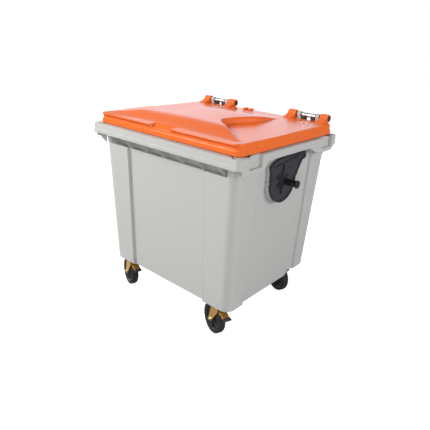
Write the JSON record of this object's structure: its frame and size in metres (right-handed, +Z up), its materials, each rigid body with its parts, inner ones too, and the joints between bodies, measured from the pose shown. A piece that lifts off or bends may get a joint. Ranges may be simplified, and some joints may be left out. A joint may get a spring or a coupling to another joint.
{
  "type": "four-wheeled waste container",
  "caption": "Tapered four-wheeled waste container with a flat domed lid on rear hinge tubes, a comb lifting rim, side trunnions and swivel castors, the front pair braked.",
  "frame": {"origin": "centre of the bounding box in X and Y, at the floor that the wheels stand on", "axes": "+X along the long side to the right of someone who faces the comb rim, +Y towards the lid's hinges, +Z up"},
  "size_m": [1.37, 1.078, 1.323],
  "materials": {
    "tub_plastic": "satin light grey polyethylene",
    "lid_plastic": "glossy orange polyethylene",
    "black_plastic": "satin black plastic",
    "rubber": "matte black rubber",
    "tyre_rubber": "matte black tyre rubber",
    "yellow_zinc": "yellow passivated zinc plate",
    "black_steel": "black coated steel",
    "steel": "bright zinc plate"
  },
  "bodies": {
    "tub": {"tub_shell": "tub_plastic", "drain_seal": "rubber", "hinge_bushes": "black_plastic", "hinge_caps": "black_plastic", "left_hinge_tube": "steel", "left_trunnion_plate": "black_plastic", "left_trunnion_pin": "black_plastic", "left_trunnion_bolts": "black_steel", "right_hinge_tube": "steel", "right_trunnion_plate": "black_plastic", "right_trunnion_pin": "black_plastic", "right_trunnion_bolts": "black_steel", "front_left_castor_plate": "yellow_zinc", "front_left_castor_bolts": "steel", "front_left_kingpin": "steel", "front_left_ball_race": "steel", "front_right_castor_plate": "yellow_zinc", "front_right_castor_bolts": "steel", "front_right_kingpin": "steel", "front_right_ball_race": "steel", "rear_left_castor_plate": "yellow_zinc", "rear_left_castor_bolts": "steel", "rear_left_kingpin": "steel", "rear_left_ball_race": "steel", "rear_right_castor_plate": "yellow_zinc", "rear_right_castor_bolts": "steel", "rear_right_kingpin": "steel", "rear_right_ball_race": "steel"},
    "lid": {"lid_shell": "lid_plastic", "lid_buffers": "rubber"},
    "drain_plug": {"drain_plug": "black_plastic"},
    "front_left_fork": {"front_left_fork": "yellow_zinc", "front_left_axle": "steel", "front_left_bearing_sleeve": "steel"},
    "front_left_wheel": {"front_left_wheel_hub": "black_plastic", "front_left_tyre": "tyre_rubber"},
    "front_right_fork": {"front_right_fork": "yellow_zinc", "front_right_axle": "steel", "front_right_bearing_sleeve": "steel"},
    "front_right_wheel": {"front_right_wheel_hub": "black_plastic", "front_right_tyre": "tyre_rubber"},
    "rear_left_fork": {"rear_left_fork": "yellow_zinc", "rear_left_axle": "steel", "rear_left_bearing_sleeve": "steel"},
    "rear_left_wheel": {"rear_left_wheel_hub": "black_plastic", "rear_left_tyre": "tyre_rubber"},
    "rear_right_fork": {"rear_right_fork": "yellow_zinc", "rear_right_axle": "steel", "rear_right_bearing_sleeve": "steel"},
    "rear_right_wheel": {"rear_right_wheel_hub": "black_plastic", "rear_right_tyre": "tyre_rubber"},
    "front_left_brake": {"front_left_brake_pedal": "yellow_zinc", "front_left_brake_pad": "rubber", "front_left_pedal_tip": "black_plastic"},
    "front_right_brake": {"front_right_brake_pedal": "yellow_zinc", "front_right_brake_pad": "rubber", "front_right_pedal_tip": "black_plastic"}
  },
  "joints": [
    {"name": "lid_hinge", "type": "hinge", "parent": "tub", "child": "lid", "pos_m": [0, 0.513, 1.297], "axis": [-1, 0, 0], "range_deg": [0, 250]},
    {"name": "drain_plug_slide", "type": "slide", "parent": "tub", "child": "drain_plug", "axis": [0, 0, -1], "range_m": [0, 0.06]},
    {"name": "front_left_swivel", "type": "hinge", "parent": "tub", "child": "front_left_fork", "pos_m": [-0.41, -0.368, 0.2117], "axis": [0, 0, 1], "continuous": true},
    {"name": "front_left_spin", "type": "hinge", "parent": "front_left_fork", "child": "front_left_wheel", "pos_m": [-0.45041, -0.35329, 0.1], "axis": [0.342, 0.9397, 0], "continuous": true},
    {"name": "front_right_swivel", "type": "hinge", "parent": "tub", "child": "front_right_fork", "pos_m": [0.41, -0.368, 0.2117], "axis": [0, 0, 1], "continuous": true},
    {"name": "front_right_spin", "type": "hinge", "parent": "front_right_fork", "child": "front_right_wheel", "pos_m": [0.36959, -0.35329, 0.1], "axis": [0.342, 0.9397, 0], "continuous": true},
    {"name": "rear_left_swivel", "type": "hinge", "parent": "tub", "child": "rear_left_fork", "pos_m": [-0.41, 0.35, 0.2117], "axis": [0, 0, 1], "continuous": true},
    {"name": "rear_left_spin", "type": "hinge", "parent": "rear_left_fork", "child": "rear_left_wheel", "pos_m": [-0.45041, 0.36471, 0.1], "axis": [0.342, 0.9397, 0], "continuous": true},
    {"name": "rear_right_swivel", "type": "hinge", "parent": "tub", "child": "rear_right_fork", "pos_m": [0.41, 0.35, 0.2117], "axis": [0, 0, 1], "continuous": true},
    {"name": "rear_right_spin", "type": "hinge", "parent": "rear_right_fork", "child": "rear_right_wheel", "pos_m": [0.36959, 0.36471, 0.1], "axis": [0.342, 0.9397, 0], "continuous": true},
    {"name": "front_left_brake_press", "type": "hinge", "parent": "front_left_fork", "child": "front_left_brake", "pos_m": [-0.39403, -0.37381, 0.19], "axis": [0.342, 0.9397, 0], "range_deg": [0, 12]},
    {"name": "front_right_brake_press", "type": "hinge", "parent": "front_right_fork", "child": "front_right_brake", "pos_m": [0.42597, -0.37381, 0.19], "axis": [0.342, 0.9397, 0], "range_deg": [0, 12]}
  ]
}
